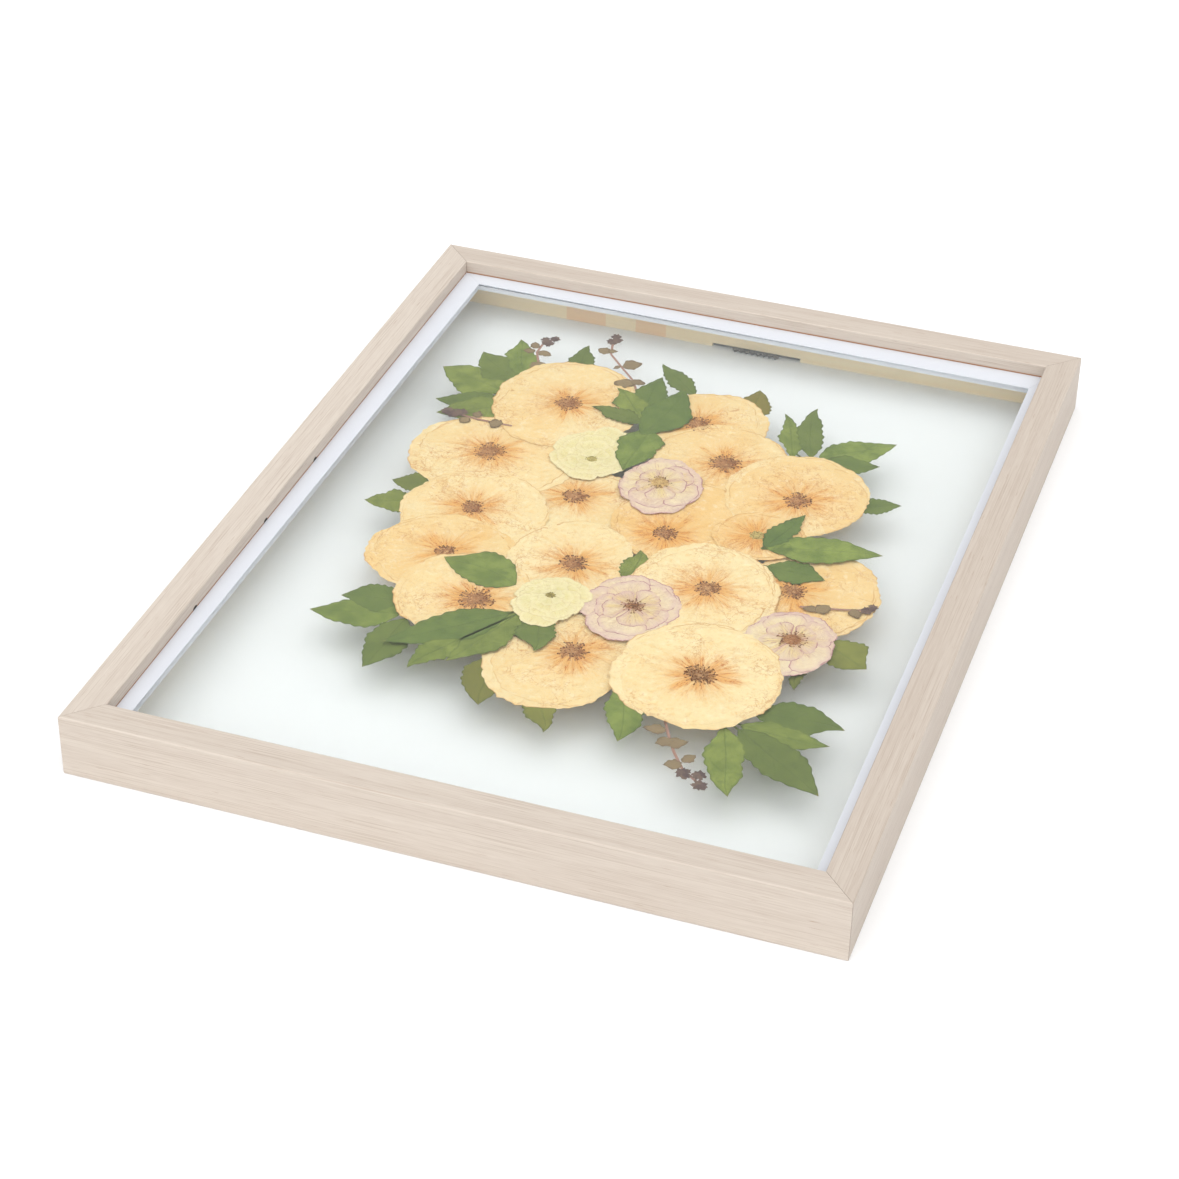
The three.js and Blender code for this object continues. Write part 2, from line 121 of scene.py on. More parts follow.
# %% Node helpers
def paint(hex_colour):
    """A colour as painters write it, turned into the linear numbers that shaders use."""
    parts = [int(hex_colour[i : i + 2], 16) / 255 for i in (1, 3, 5)]
    linear = [p / 12.92 if p <= 0.04045 else ((p + 0.055) / 1.055) ** 2.4 for p in parts]
    return (*linear, 1.0)


def add_node(tree, kind, inputs=None, **settings):
    made = tree.nodes.new("ShaderNode" + kind)
    for name, value in settings.items():
        setattr(made, name, value)
    for name, value in (inputs or {}).items():
        socket = made.inputs[name]
        if isinstance(value, bpy.types.NodeSocket):
            tree.links.new(value, socket)
        else:
            socket.default_value = value
    return made


def calc(tree, operation, first, second=0.0):
    return add_node(tree, "Math", {0: first, 1: second}, operation=operation).outputs[0]


def ease(tree, value, low, high):
    """0 where value is at low, 1 at high, and a soft curve between; low may be the larger."""
    inputs = {"Value": value, "From Min": low, "From Max": high}
    return add_node(tree, "MapRange", inputs, interpolation_type="SMOOTHSTEP").outputs[0]


def tint(tree, mask, under, over, share=1.0):
    """Lays one colour over another where the mask is 1; share says how strongly."""
    if share != 1.0:
        mask = calc(tree, "MULTIPLY", mask, share)
    made = add_node(tree, "Mix", data_type="RGBA")
    for name, value in (("Factor_Float", mask), ("A_Color", under), ("B_Color", over)):
        socket = next(s for s in made.inputs if s.identifier == name)
        if isinstance(value, bpy.types.NodeSocket):
            tree.links.new(value, socket)
        else:
            socket.default_value = value
    return next(s for s in made.outputs if s.identifier == "Result_Color")


def cloud(tree, vector, scale=1.0, detail=2.0, roughness=0.5, distortion=0.0):
    inputs = {
        "Vector": vector, "Scale": scale, "Detail": detail,
        "Roughness": roughness, "Distortion": distortion,
    }
    return add_node(tree, "TexNoise", inputs).outputs["Fac"]


def line_where(tree, value, middle, half_width):
    """1 where value crosses middle, fading to 0 half_width away: a thin line along a contour."""
    off = calc(tree, "ABSOLUTE", calc(tree, "SUBTRACT", value, middle))
    return ease(tree, off, half_width, 0.0)


def trait(tree, name):
    return add_node(tree, "Attribute", attribute_name=name).outputs["Fac"]


def join_xyz(tree, x, y, z):
    return add_node(tree, "CombineXYZ", {"X": x, "Y": y, "Z": z}).outputs[0]


def object_place(tree, scale=(1.0, 1.0, 1.0)):
    place = add_node(tree, "TexCoord").outputs["Object"]
    return add_node(tree, "Mapping", {"Vector": place, "Scale": scale}).outputs[0]


def new_finish(name, roughness, specular=0.5):
    """A material with one Principled shader; returns the material, its tree and the shader."""
    made = bpy.data.materials.new(name)
    made.use_nodes = True
    shader = made.node_tree.nodes["Principled BSDF"]
    shader.inputs["Roughness"].default_value = roughness
    shader.inputs["Specular IOR Level"].default_value = specular
    return made, made.node_tree, shader


def set_colour(tree, shader, colour):
    tree.links.new(colour, shader.inputs["Base Color"])


def set_bump(tree, shader, height, distance_mm, strength=1.0):
    inputs = {"Height": height, "Distance": distance_mm * MM, "Strength": strength}
    bump = add_node(tree, "Bump", inputs)
    tree.links.new(bump.outputs["Normal"], shader.inputs["Normal"])


print("mid grey as shaders count it:", round(paint("#808080")[0], 3))


# %% [markdown]
# ## Studio light and table
# The frame lies on a white table under one very large softbox, which hangs overhead and a little to
# the front right. A sky dome with a broad bright patch stands for it, since a dome reaches the
# flowers through the glass far more cleanly than a lamp. Light crosses eight glass faces on its way
# to the table and back, so it gets more bounces, and glass seen after a bounce stays as clear as
# glass seen directly.

# %% Studio light and table
DOME_FILL = 0.52
SOFTBOX_LIGHT = 1.74
SOFTBOX_FOCUS = 1.5
SOFTBOX_FROM = Vector((0.15, -0.6, 1.0)).normalized()
LIGHT_BOUNCES = 20
TABLE_SIDE = 20.0

bpy.context.scene.view_settings.view_transform = "Standard"
bpy.context.scene.cycles.blur_glossy = 0.0
bpy.context.scene.cycles.max_bounces = LIGHT_BOUNCES
bpy.context.scene.cycles.transmission_bounces = LIGHT_BOUNCES
world = bpy.data.worlds.new("white_studio")
world.use_nodes = True
bpy.context.scene.world = world
sky = world.node_tree
sky_direction = add_node(sky, "TexCoord").outputs["Generated"]
towards_box = add_node(
    sky, "VectorMath", {0: sky_direction, 1: SOFTBOX_FROM}, operation="DOT_PRODUCT"
).outputs["Value"]
box_patch = calc(sky, "POWER", calc(sky, "MAXIMUM", towards_box, 0.0), SOFTBOX_FOCUS)
sky_strength = calc(sky, "ADD", calc(sky, "MULTIPLY", box_patch, SOFTBOX_LIGHT), DOME_FILL)
sky.links.new(sky_strength, sky.nodes["Background"].inputs["Strength"])
sky.nodes["Background"].inputs["Color"].default_value = paint("#FFFFFF")

table_mesh = bpy.data.meshes.new("table")
table_bm = bmesh.new()
bmesh.ops.create_grid(table_bm, x_segments=1, y_segments=1, size=TABLE_SIDE / 2)
table_bm.to_mesh(table_mesh)
table_bm.free()
table = bpy.data.objects.new("table", table_mesh)
bpy.context.collection.objects.link(table)
table_finish, tree, shader = new_finish("table_white", roughness=0.9, specular=0.1)
speckle = cloud(tree, object_place(tree), scale=300.0)
set_colour(tree, shader, tint(tree, speckle, paint("#F1F2F3"), paint("#F3F4F5")))
table_mesh.materials.append(table_finish)
print("table side:", TABLE_SIDE, "m")

# %% [markdown]
# ## Wood rails
# The rails are pine, wrapped on every outer face in a pale woodgrain film. The solids already have
# the right section, with small rounds at its edges, so they only need a finish. The grain is noise
# stretched along the rail, and each rail's film is darkened by its own share, a painted shade for the
# light that rail gets. Behind the lip there is no film, so bare pine shows there, glued up from
# short blocks, and the film's cut edge is a thin brown line along the bottom of the lip. Three
# chips break that edge on the left rail, painted as near black spots: a painted shade for the
# hollow of each chip.

# %% Grain of the film and the pine
FILM_PALE = paint("#CBC0B4")
FILM_DEEP = paint("#C4B8AC")
GRAIN_DARK = paint("#AE9E90")
GRAIN_LIGHT = paint("#D9D0C5")


def along_rail(tree, along, run, cut):
    """Object coordinates with run steps a metre along the rail and cut steps a metre across it."""
    scale = [cut, cut, cut]
    scale[along] = run
    return object_place(tree, scale)


def film_colour(tree, along, fine, shade):
    """The printed film: broad bands, fine lines, short fibres and brown pores, then the rail's painted
    shade, which darkens the whole film for the light that rail gets.
    """
    broad = cloud(tree, along_rail(tree, along, 5.0, 150.0), detail=3.0, distortion=0.15)
    fibres = cloud(tree, along_rail(tree, along, 120.0, 1500.0))
    pores = cloud(tree, along_rail(tree, along, 90.0, 2600.0), detail=1.0)
    film = tint(tree, ease(tree, broad, 0.3, 0.7), FILM_PALE, FILM_DEEP)
    film = tint(tree, ease(tree, fine, 0.5, 0.75), film, GRAIN_DARK, share=0.75)
    film = tint(tree, ease(tree, fine, 0.45, 0.2), film, GRAIN_LIGHT, share=0.4)
    film = tint(tree, ease(tree, fibres, 0.5, 0.72), film, GRAIN_DARK, share=0.14)
    film = tint(tree, ease(tree, fibres, 0.5, 0.3), film, GRAIN_LIGHT, share=0.14)
    film = tint(tree, ease(tree, pores, 0.7, 0.78), film, paint("#97765F"), share=0.6)
    # Painted shade: the rail's share darkens its whole film towards a brown grey, standing in for the
    # light that reaches this rail.
    return tint(tree, shade, film, paint("#8C7A6A"))


def pine_colour(tree, along, run, dark_blocks):
    """Bare pine; dark_blocks are the start and end, in millimetres, of the browner blocks in it."""
    pine_grain = cloud(tree, along_rail(tree, along, 9.0, 500.0), detail=3.0)
    pine = tint(tree, pine_grain, paint("#FFEFCC"), paint("#FFE2B0"))
    for start, end in dark_blocks:
        past_start = calc(tree, "GREATER_THAN", run, start * MM)
        before_end = calc(tree, "LESS_THAN", run, end * MM)
        inside = calc(tree, "MULTIPLY", past_start, before_end)
        pine = tint(tree, inside, pine, paint("#FAC896"), share=0.7)
    return pine


print("film, pale and deep:", [[round(part, 3) for part in c[:3]] for c in (FILM_PALE, FILM_DEEP)])

# %% Wood rails
STRIP_CLEARANCE = 0.05 * MM
RAIL_FACE = 14.5 * MM
LIP_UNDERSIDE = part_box("border_strip_top")[1].z + STRIP_CLEARANCE
FILM_THICKNESS = 0.6 * MM
RAW_EDGE_HEIGHT = 1.0 * MM
RAW_EDGE_CORE = 0.2 * MM
CHIP_HALF_LENGTH = 2.0 * MM
CHIP_HALF_HEIGHT = 1.3 * MM
CHIP_LIFT = 0.3 * MM
CHIPS_ALONG_LEFT_RAIL = (-118.6, -46.8, 7.5)
DARK_BLOCKS = ((-97.0, -76.0), (-60.0, -44.0))
HAIR = 0.02 * MM


def rail_finish(side, along, across, outer, shade, chips=(), dark_blocks=()):
    """The film and the pine of one rail; along and across are 0 for X and 1 for Y."""
    made, tree, shader = new_finish("rail_wood_" + side, roughness=0.55, specular=0.35)
    xyz = add_node(tree, "SeparateXYZ", {0: object_place(tree)}).outputs
    run, height = xyz[along], xyz[2]
    off_middle = calc(tree, "ABSOLUTE", xyz[across])

    fine = cloud(tree, along_rail(tree, along, 20.0, 2800.0))
    film = film_colour(tree, along, fine, shade)
    pine = pine_colour(tree, along, run, dark_blocks)
    inside_film = calc(tree, "LESS_THAN", off_middle, outer - FILM_THICKNESS)
    behind_lip = calc(tree, "LESS_THAN", height, LIP_UNDERSIDE + HAIR)
    colour = tint(tree, calc(tree, "MULTIPLY", inside_film, behind_lip), film, pine)

    at_lip = calc(tree, "LESS_THAN", off_middle, outer - RAIL_FACE + HAIR)
    above_lip = calc(tree, "GREATER_THAN", height, LIP_UNDERSIDE)
    near_edge = ease(tree, height, LIP_UNDERSIDE + RAW_EDGE_HEIGHT, LIP_UNDERSIDE + RAW_EDGE_CORE)
    raw_edge = calc(tree, "MULTIPLY", calc(tree, "MULTIPLY", at_lip, above_lip), near_edge)
    colour = tint(tree, raw_edge, colour, paint("#946036"))

    # Each chip is painted as a near black spot on the lip's edge: a painted shade for the hollow of the
    # chip.
    for chip in chips:
        off_chip = calc(tree, "DIVIDE", calc(tree, "SUBTRACT", run, chip * MM), CHIP_HALF_LENGTH)
        rise = calc(tree, "SUBTRACT", height, LIP_UNDERSIDE + CHIP_LIFT)
        rise = calc(tree, "DIVIDE", rise, CHIP_HALF_HEIGHT)
        far = calc(tree, "ADD", calc(tree, "POWER", off_chip, 2.0), calc(tree, "POWER", rise, 2.0))
        painted_chip_shade = calc(tree, "MULTIPLY", ease(tree, far, 1.2, 0.7), at_lip)
        colour = tint(tree, painted_chip_shade, colour, paint("#2C201A"))

    set_colour(tree, shader, colour)
    set_bump(tree, shader, fine, distance_mm=0.05, strength=0.35)
    return made


HALF_WIDTH, HALF_LENGTH = CAD_BOX[1][0], CAD_BOX[1][1]
# The last number is each rail's painted shade, which darkens its film for the light that rail gets; on
# the right rail it is partly a darker piece of film as well.
for side, along, across, outer, shade in (
    ("top", 0, 1, HALF_LENGTH, 0.1), ("bottom", 0, 1, HALF_LENGTH, 0.07),
    ("left", 1, 0, HALF_WIDTH, 0.0), ("right", 1, 0, HALF_WIDTH, 0.17),
):
    rail = bpy.data.objects["rail_" + side]
    chips = CHIPS_ALONG_LEFT_RAIL if side == "left" else ()
    blocks = DARK_BLOCKS if side == "top" else ()
    rail.material_slots[0].material = rail_finish(side, along, across, outer, shade, chips, blocks)
    print("finished", rail.name)

# %% [markdown]
# ## White strips, glass and steel
# The strips are smooth matt white plastic with hardly any texture. The glass is plain: full
# transmission, an index a little below window glass, as coated picture glass has, and a volume that
# takes a little red away, which gives its faint green cast. The hanger is stamped steel, and its
# nails are bare steel.

# %% White strips, glass and steel
strip_finish, tree, shader = new_finish("strip_white", roughness=0.6, specular=0.4)
mottle = cloud(tree, object_place(tree), scale=60.0, detail=3.0)
set_colour(tree, shader, tint(tree, mottle, paint("#D3D6DC"), paint("#CED1D8")))
set_bump(tree, shader, cloud(tree, object_place(tree), scale=2500.0), distance_mm=0.01, strength=0.3)

GLASS_INDEX = 1.42
GLASS_ABSORPTION = 6.0
glass_finish, tree, shader = new_finish("glass_clear", roughness=0.0)
shader.inputs["Transmission Weight"].default_value = 1.0
shader.inputs["IOR"].default_value = GLASS_INDEX
shader.inputs["Base Color"].default_value = paint("#FFFFFF")
green_cast = add_node(tree, "VolumeAbsorption", {"Color": paint("#7FEBC4"), "Density": GLASS_ABSORPTION})
glass_output = tree.nodes["Material Output"]
tree.links.new(green_cast.outputs[0], glass_output.inputs["Volume"])

hanger_finish, tree, shader = new_finish("hanger_black", roughness=0.45)
shader.inputs["Metallic"].default_value = 0.6
wear = cloud(tree, object_place(tree), scale=700.0, detail=4.0)
set_colour(tree, shader, tint(tree, ease(tree, wear, 0.6, 0.75), paint("#5E5E60"), paint("#8A8988")))
set_bump(tree, shader, wear, distance_mm=0.03, strength=0.4)

nail_finish, tree, shader = new_finish("nail_bright", roughness=0.35)
shader.inputs["Metallic"].default_value = 1.0
scratches = cloud(tree, object_place(tree, (400.0, 4000.0, 400.0)), detail=2.0)
set_colour(tree, shader, tint(tree, scratches, paint("#B9B8B4"), paint("#94928E")))

for name in [n for n in frame["nodes"] if "_strip_" in n]:
    bpy.data.objects[name].material_slots[0].material = strip_finish
for name in ("front_glass", "back_glass"):
    bpy.data.objects[name].material_slots[0].material = glass_finish
bpy.data.objects["hanger"].material_slots[0].material = hanger_finish
for name in ("hanger_nail_left", "hanger_nail_right"):
    bpy.data.objects[name].material_slots[0].material = nail_finish
print("glass index:", GLASS_INDEX)

# %% [markdown]
# ## Pressed sheets
# A petal or a leaf is a small thin sheet. Each one starts as a grid, whose points are then carried
# to where the petal's shape puts them: u runs across it from -1 to 1, v from its base to its tip.
# Each point also keeps a few numbers, its traits, such as how far it is from the flower's heart.
# The finishes read them, so that streaks follow the petal. A Solidify modifier gives the thickness.

# %% Pressed sheets
TRAITS = ("turn", "distance", "reach", "brim", "tone", "mood")
MERGE_DISTANCE = 0.001 * MM


def new_press():
    bm = bmesh.new()
    return bm, {name: bm.verts.layers.float.new(name) for name in TRAITS}


def lay_sheet(press, cells, shape):
    """Lays one sheet; shape(u, v) gives a point's place in millimetres and its traits."""
    bm, layers = press
    verts = bmesh.ops.create_grid(bm, x_segments=cells[0], y_segments=cells[1], size=1.0)["verts"]
    for vert in verts:
        place, traits = shape(vert.co.x, (vert.co.y + 1) / 2)
        vert.co = Vector(place) * MM
        for name, value in traits.items():
            vert[layers[name]] = value
    bmesh.ops.remove_doubles(bm, verts=verts, dist=MERGE_DISTANCE)


def finish_press(press, name, material, node, thickness_mm):
    """Turns what was pressed into one piece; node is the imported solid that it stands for, if any."""
    bm, _ = press
    mesh = bpy.data.meshes.new(name)
    bm.to_mesh(mesh)
    bm.free()
    mesh.materials.append(material)
    piece = bpy.data.objects.new(name, mesh)
    bpy.context.collection.objects.link(piece)
    if thickness_mm:
        solidify = piece.modifiers.new("thickness", "SOLIDIFY")
        solidify.thickness = thickness_mm * MM
        solidify.offset = -1.0
    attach(piece, "root")
    if node:
        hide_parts(node)
    return piece


LAYOUT_SHIFT = Vector((2.4, -7.4))
LAYOUT_SCALE = 0.993


def on_layout(x, y):
    """A point of the tables below, put in its place in the frame, in millimetres."""
    return LAYOUT_SHIFT + Vector((x, y)) * LAYOUT_SCALE


def flower_outline(node):
    """The middle, half sizes and lowest height of a packed flower, in millimetres."""
    low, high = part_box(node)
    middle = (low + high) / 2 / MM
    return middle.x, middle.y, (high.x - low.x) / 2 / MM, (high.y - low.y) / 2 / MM, low.z / MM


def reach_towards(outline, heart, angle):
    """How far the flower's oval outline is from its heart in one direction, in millimetres."""
    x, y, half_x, half_y, _ = outline
    start = Vector(((heart[0] - x) / half_x, (heart[1] - y) / half_y))
    step = Vector((math.cos(angle) / half_x, math.sin(angle) / half_y))
    a, b, c = step.dot(step), 2 * start.dot(step), start.dot(start) - 1
    return (-b + math.sqrt(b * b - 4 * a * c)) / (2 * a)


print("traits of each point:", ", ".join(TRAITS))

# %% [markdown]
# ## Petal finishes
# A pressed rose keeps an amber glow round its heart, which runs out along the petals in streaks.
# Fine creases cross it like a web, and the flower's outline is a hair darker. All of that reads the
# traits, so one recipe serves every rose: its mood trait runs from cream to apricot, and differs a
# little from petal to petal, as it does in a real rose.

# %% Petal patterns
STREAK_PULL = 34.0


def radial_cloud(tree, around, outward, detail=3.0, shift=0.0):
    """Noise laid round the heart: a higher around makes thinner streaks; each petal has its own."""
    around_heart = calc(tree, "MULTIPLY", trait(tree, "turn"), around)
    from_heart = calc(tree, "MULTIPLY", trait(tree, "distance"), outward)
    seed = calc(tree, "MULTIPLY", trait(tree, "tone"), 37.0)
    vector = join_xyz(tree, around_heart, from_heart, calc(tree, "ADD", seed, shift))
    return cloud(tree, vector, detail=detail, roughness=0.6)


def add_glow(tree, colour, glow_colour, ray_colour, end, share):
    """A haze and thin rays round the heart; streaks push the haze's edge out and pull it in."""
    pull = calc(tree, "MULTIPLY", radial_cloud(tree, 3.4, 0.05), -STREAK_PULL)
    ragged = calc(tree, "ADD", trait(tree, "distance"), pull)
    colour = tint(tree, ease(tree, ragged, end - 8.0, -16.0), colour, glow_colour, share * 0.45)
    colour = tint(tree, ease(tree, ragged, end - 20.0, -14.0), colour, glow_colour, share * 0.7)
    rays = line_where(tree, radial_cloud(tree, 7.5, 0.06), 0.5, 0.026)
    thin_rays = line_where(tree, radial_cloud(tree, 19.0, 0.12, shift=11.0), 0.5, 0.03)
    rays = calc(tree, "MAXIMUM", rays, calc(tree, "MULTIPLY", thin_rays, 0.4))
    rays = calc(tree, "MULTIPLY", rays, ease(tree, ragged, end - 17.0, -11.0))
    return tint(tree, rays, colour, ray_colour, share * 1.2)


def crease_lines(tree):
    """A web of thin creases, long ones that follow the petals, and a fainter, smaller web."""
    web = cloud(tree, object_place(tree), scale=95.0, detail=3.0, distortion=1.2)
    long_web = radial_cloud(tree, 2.2, 0.09, detail=4.0)
    small_web = cloud(tree, object_place(tree), scale=210.0, detail=3.0, distortion=0.8)
    creases = line_where(tree, web, 0.52, 0.012)
    creases = calc(tree, "MAXIMUM", creases, line_where(tree, long_web, 0.5, 0.012))
    small_creases = calc(tree, "MULTIPLY", line_where(tree, small_web, 0.5, 0.02), 0.6)
    return calc(tree, "MAXIMUM", creases, small_creases)


print("streaks move the glow's edge by up to", STREAK_PULL, "mm")

# %% Petal finishes
def petal_finish(
    name, colours, glow_end, glow_share, crease_share, rim_share, band_share, inner_rims
):
    """colours: pale, deep (for mood 1), glow, crease, rim and band along the rim."""
    pale, deep, glow_colour, crease_colour, rim_colour, band_colour = map(paint, colours)
    made, tree, shader = new_finish(name, roughness=0.75, specular=0.2)

    crinkle = radial_cloud(tree, 9.0, 0.32, detail=5.0, shift=23.0)
    blotch = cloud(tree, object_place(tree), scale=60.0, detail=4.0, roughness=0.6)
    colour = tint(tree, trait(tree, "mood"), pale, deep)
    colour = tint(tree, ease(tree, blotch, 0.35, 0.75), colour, paint("#EFDDB2"), share=0.4)
    # Painted shade and painted highlight: where the crinkle relief, which the bump below also uses, is
    # low the colour darkens towards deep, and where it is high it lightens.
    colour = tint(tree, ease(tree, crinkle, 0.5, 0.28), colour, deep, share=0.5)
    colour = tint(tree, ease(tree, crinkle, 0.52, 0.72), colour, paint("#F4E9CC"), share=0.4)
    colour = add_glow(tree, colour, glow_colour, crease_colour, glow_end, glow_share)

    creases = crease_lines(tree)
    patchy = ease(tree, cloud(tree, object_place(tree), scale=45.0), 0.42, 0.62)
    patchy_creases = calc(tree, "MULTIPLY", creases, patchy)
    colour = tint(tree, patchy_creases, colour, crease_colour, crease_share)

    brim = trait(tree, "brim")
    colour = tint(tree, ease(tree, brim, 3.2, 0.6), colour, band_colour, band_share)
    worn = ease(tree, radial_cloud(tree, 3.0, 0.02, detail=1.0), 0.4, 0.6)
    rim = calc(tree, "MULTIPLY", ease(tree, brim, 0.7, 0.15), worn)
    at_outline = ease(tree, trait(tree, "reach"), inner_rims - 0.06, inner_rims)
    rim = calc(tree, "MULTIPLY", rim, at_outline)
    set_colour(tree, shader, tint(tree, rim, colour, rim_colour, rim_share))

    grain = cloud(tree, object_place(tree), scale=500.0, detail=4.0, roughness=0.6)
    relief = calc(tree, "ADD", calc(tree, "MULTIPLY", crinkle, 2.2), calc(tree, "MULTIPLY", grain, 0.7))
    relief = calc(tree, "SUBTRACT", relief, calc(tree, "MULTIPLY", creases, 0.35))
    set_bump(tree, shader, relief, distance_mm=0.6, strength=0.55)
    return made


ROSE_PETALS = petal_finish(
    "petal_rose", ("#EDDAA9", "#E8C280", "#E6A448", "#BE6820", "#C07C36", "#E8C688"),
    glow_end=18.0, glow_share=0.85, crease_share=0.55, rim_share=0.55, band_share=0.15, inner_rims=0.96,
)
RANUNCULUS_PETALS = petal_finish(
    "petal_ranunculus", ("#EEE2B6", "#EADCA6", "#D2CC80", "#D2B470", "#C8AE70", "#F2E8C6"),
    glow_end=4.0, glow_share=0.35, crease_share=0.3, rim_share=0.4, band_share=0.35, inner_rims=0.1,
)
PINK_PETALS = petal_finish(
    "petal_pink", ("#E4D4B4", "#DAC0B2", "#E6CE84", "#B07C80", "#AC747C", "#CFA8AC"),
    glow_end=17.0, glow_share=0.75, crease_share=0.3, rim_share=0.9, band_share=0.35, inner_rims=0.1,
)
print("petal finishes:", ROSE_PETALS.name, RANUNCULUS_PETALS.name, PINK_PETALS.name)

# %% [markdown]
# ## Flower hearts
# In the middle of each flower is a flat disc ringed by stamens: thin threads that end in dark
# anthers. Each thread is a three-sided cone laid flat and each anther a squashed icosphere, because
# a shape that is repeated two thousand times should have only a few faces.

# %% Flower hearts
heart_finish, tree, shader = new_finish("flower_heart", roughness=0.8, specular=0.2)
tone, mood = trait(tree, "tone"), trait(tree, "mood")
grain = cloud(tree, object_place(tree), scale=1500.0, detail=3.0)
brown = tint(tree, ease(tree, tone, 0.0, 0.5), paint("#4A2A20"), paint("#8C5836"))
brown = tint(tree, ease(tree, tone, 0.5, 1.0), brown, paint("#D2AA78"))
yellow = tint(tree, tone, paint("#8A8148"), paint("#D8CF86"))
heart_colour = tint(tree, mood, brown, yellow)
heart_colour = tint(tree, grain, heart_colour, paint("#B8803E"), share=0.25)
set_colour(tree, shader, heart_colour)
set_bump(tree, shader, grain, distance_mm=0.2, strength=0.6)
print("heart finish:", heart_finish.name)

# %% Stamens
HEART_HEIGHT = 0.22
THREAD_RADIUS = 0.13
ANTHER_RADIUS = 0.5
ANTHER_HALF_HEIGHT = 0.12
ANTHER_TONES = (0.0, 0.1, 0.25, 0.5, 0.8)


def add_disc(press, centre, radius, height, tone, mood):
    bm, layers = press
    squash = Matrix.Diagonal((1.0, 1.0, height / radius, 1.0))
    made = bmesh.ops.create_icosphere(
        bm, subdivisions=3, radius=radius * MM, matrix=Matrix.Translation(centre * MM) @ squash
    )
    for vert in made["verts"]:
        vert[layers["tone"]] = tone
        vert[layers["mood"]] = mood


def add_stamen(press, heart, angle, start, end, size, tone, mood):
    """One thread from start to end, and its anther; size is the anther's radius."""
    bm, layers = press
    outward = Vector((math.cos(angle), math.sin(angle), 0))
    length = end - start
    middle = heart + outward * (start + end) / 2
    lay_flat = Matrix.Rotation(angle, 4, "Z") @ Matrix.Rotation(math.radians(90), 4, "Y")
    thread = bmesh.ops.create_cone(
        bm, cap_ends=True, segments=3, radius1=THREAD_RADIUS * MM, radius2=THREAD_RADIUS * 0.7 * MM,
        depth=length * MM, matrix=Matrix.Translation(middle * MM) @ lay_flat,
    )
    squash = Matrix.Diagonal((1.3, 0.8, ANTHER_HALF_HEIGHT / size, 1.0))
    turned = Matrix.Rotation(angle + tone * 6, 4, "Z") @ squash
    tip = Matrix.Translation((heart + outward * end) * MM) @ turned
    anther = bmesh.ops.create_icosphere(bm, subdivisions=1, radius=size * MM, matrix=tip)
    for verts, shade in ((thread["verts"], 0.7), (anther["verts"], tone)):
        for vert in verts:
            vert[layers["tone"]] = shade
            vert[layers["mood"]] = mood


def add_heart(name, heart, z, radius, count, rng, mood, core_tone, disc_share=0.5):
    """The disc has the core's tone, the inner anthers nearly so; the outer ones are mostly dark."""
    press = new_press()
    centre = Vector((heart[0], heart[1], z))
    add_disc(press, centre, radius * disc_share, HEART_HEIGHT / 2, core_tone, mood)
    for i in range(count):
        angle = (i + rng.uniform(-0.5, 0.5)) / count * 2 * math.pi
        share = rng.uniform(0.03, 1.2) ** 0.65
        end = radius * share
        lift = Vector((0, 0, rng.uniform(0.03, 0.1)))
        inner = rng.random() > share
        tone = core_tone + rng.uniform(-0.5, 0.3) if inner else rng.choice(ANTHER_TONES)
        size = ANTHER_RADIUS * rng.uniform(0.55, 1.1)
        add_stamen(press, centre + lift, angle, end * 0.4, end, size, tone, mood)
    return finish_press(press, name, heart_finish, node=None, thickness_mm=0.0)


print("anther radius:", ANTHER_RADIUS, "mm")

# %% [markdown]
# ## Roses
# A rose pressed open is a disc of broad petals in two whorls round an off-centre heart. Each petal
# is a fan-shaped sheet: its points are carried out from the heart to the flower's oval outline, its
# corners are rounded off, and a little noise ripples the rim. Petals lie a hair above each other.

# %% Petals
PETAL_THICKNESS = 0.012
PETAL_STEP = 0.016
PETAL_CELLS = (38, 14)
HEART_RING = 1.0
PETAL_BASE_SHARE = 0.72
RIPPLE = 0.05
FINE_RIPPLE = 0.034
NOTCH_HALF_WIDTH = 0.16


def lay_petal(press, outline, heart, angle, half_span, size, z, rng, mood, corner=0.06, notch=0.0):
    """One petal; size is its share of the way to the outline, notch a dip in the middle of its rim."""
    ripple_seed, tone = rng.uniform(0, 90), rng.random()

    def shape(u, v):
        direction = angle - half_span * u * (PETAL_BASE_SHARE + (1 - PETAL_BASE_SHARE) * v)
        ripple = noise.noise(Vector((u * 2.6, ripple_seed, 0.0))) * RIPPLE
        ripple += noise.noise(Vector((u * 13.0, ripple_seed, 4.0))) * FINE_RIPPLE
        rounding = corner * abs(u) ** 4 + notch * math.exp(-((u / NOTCH_HALF_WIDTH) ** 2))
        full = reach_towards(outline, heart, direction) * size * (1 - rounding + ripple)
        distance = HEART_RING + (full - HEART_RING) * v
        x = heart[0] + distance * math.cos(direction)
        y = heart[1] + distance * math.sin(direction)
        side = (1 - abs(u)) * half_span * max(distance, 1.0)
        traits = {
            "turn": direction, "distance": distance, "reach": v * size,
            "brim": min(side, full - distance), "tone": tone, "mood": mood,
        }
        return (x, y, z), traits

    lay_sheet(press, PETAL_CELLS, shape)


print("faces in a petal before it gets its thickness:", PETAL_CELLS[0] * PETAL_CELLS[1])

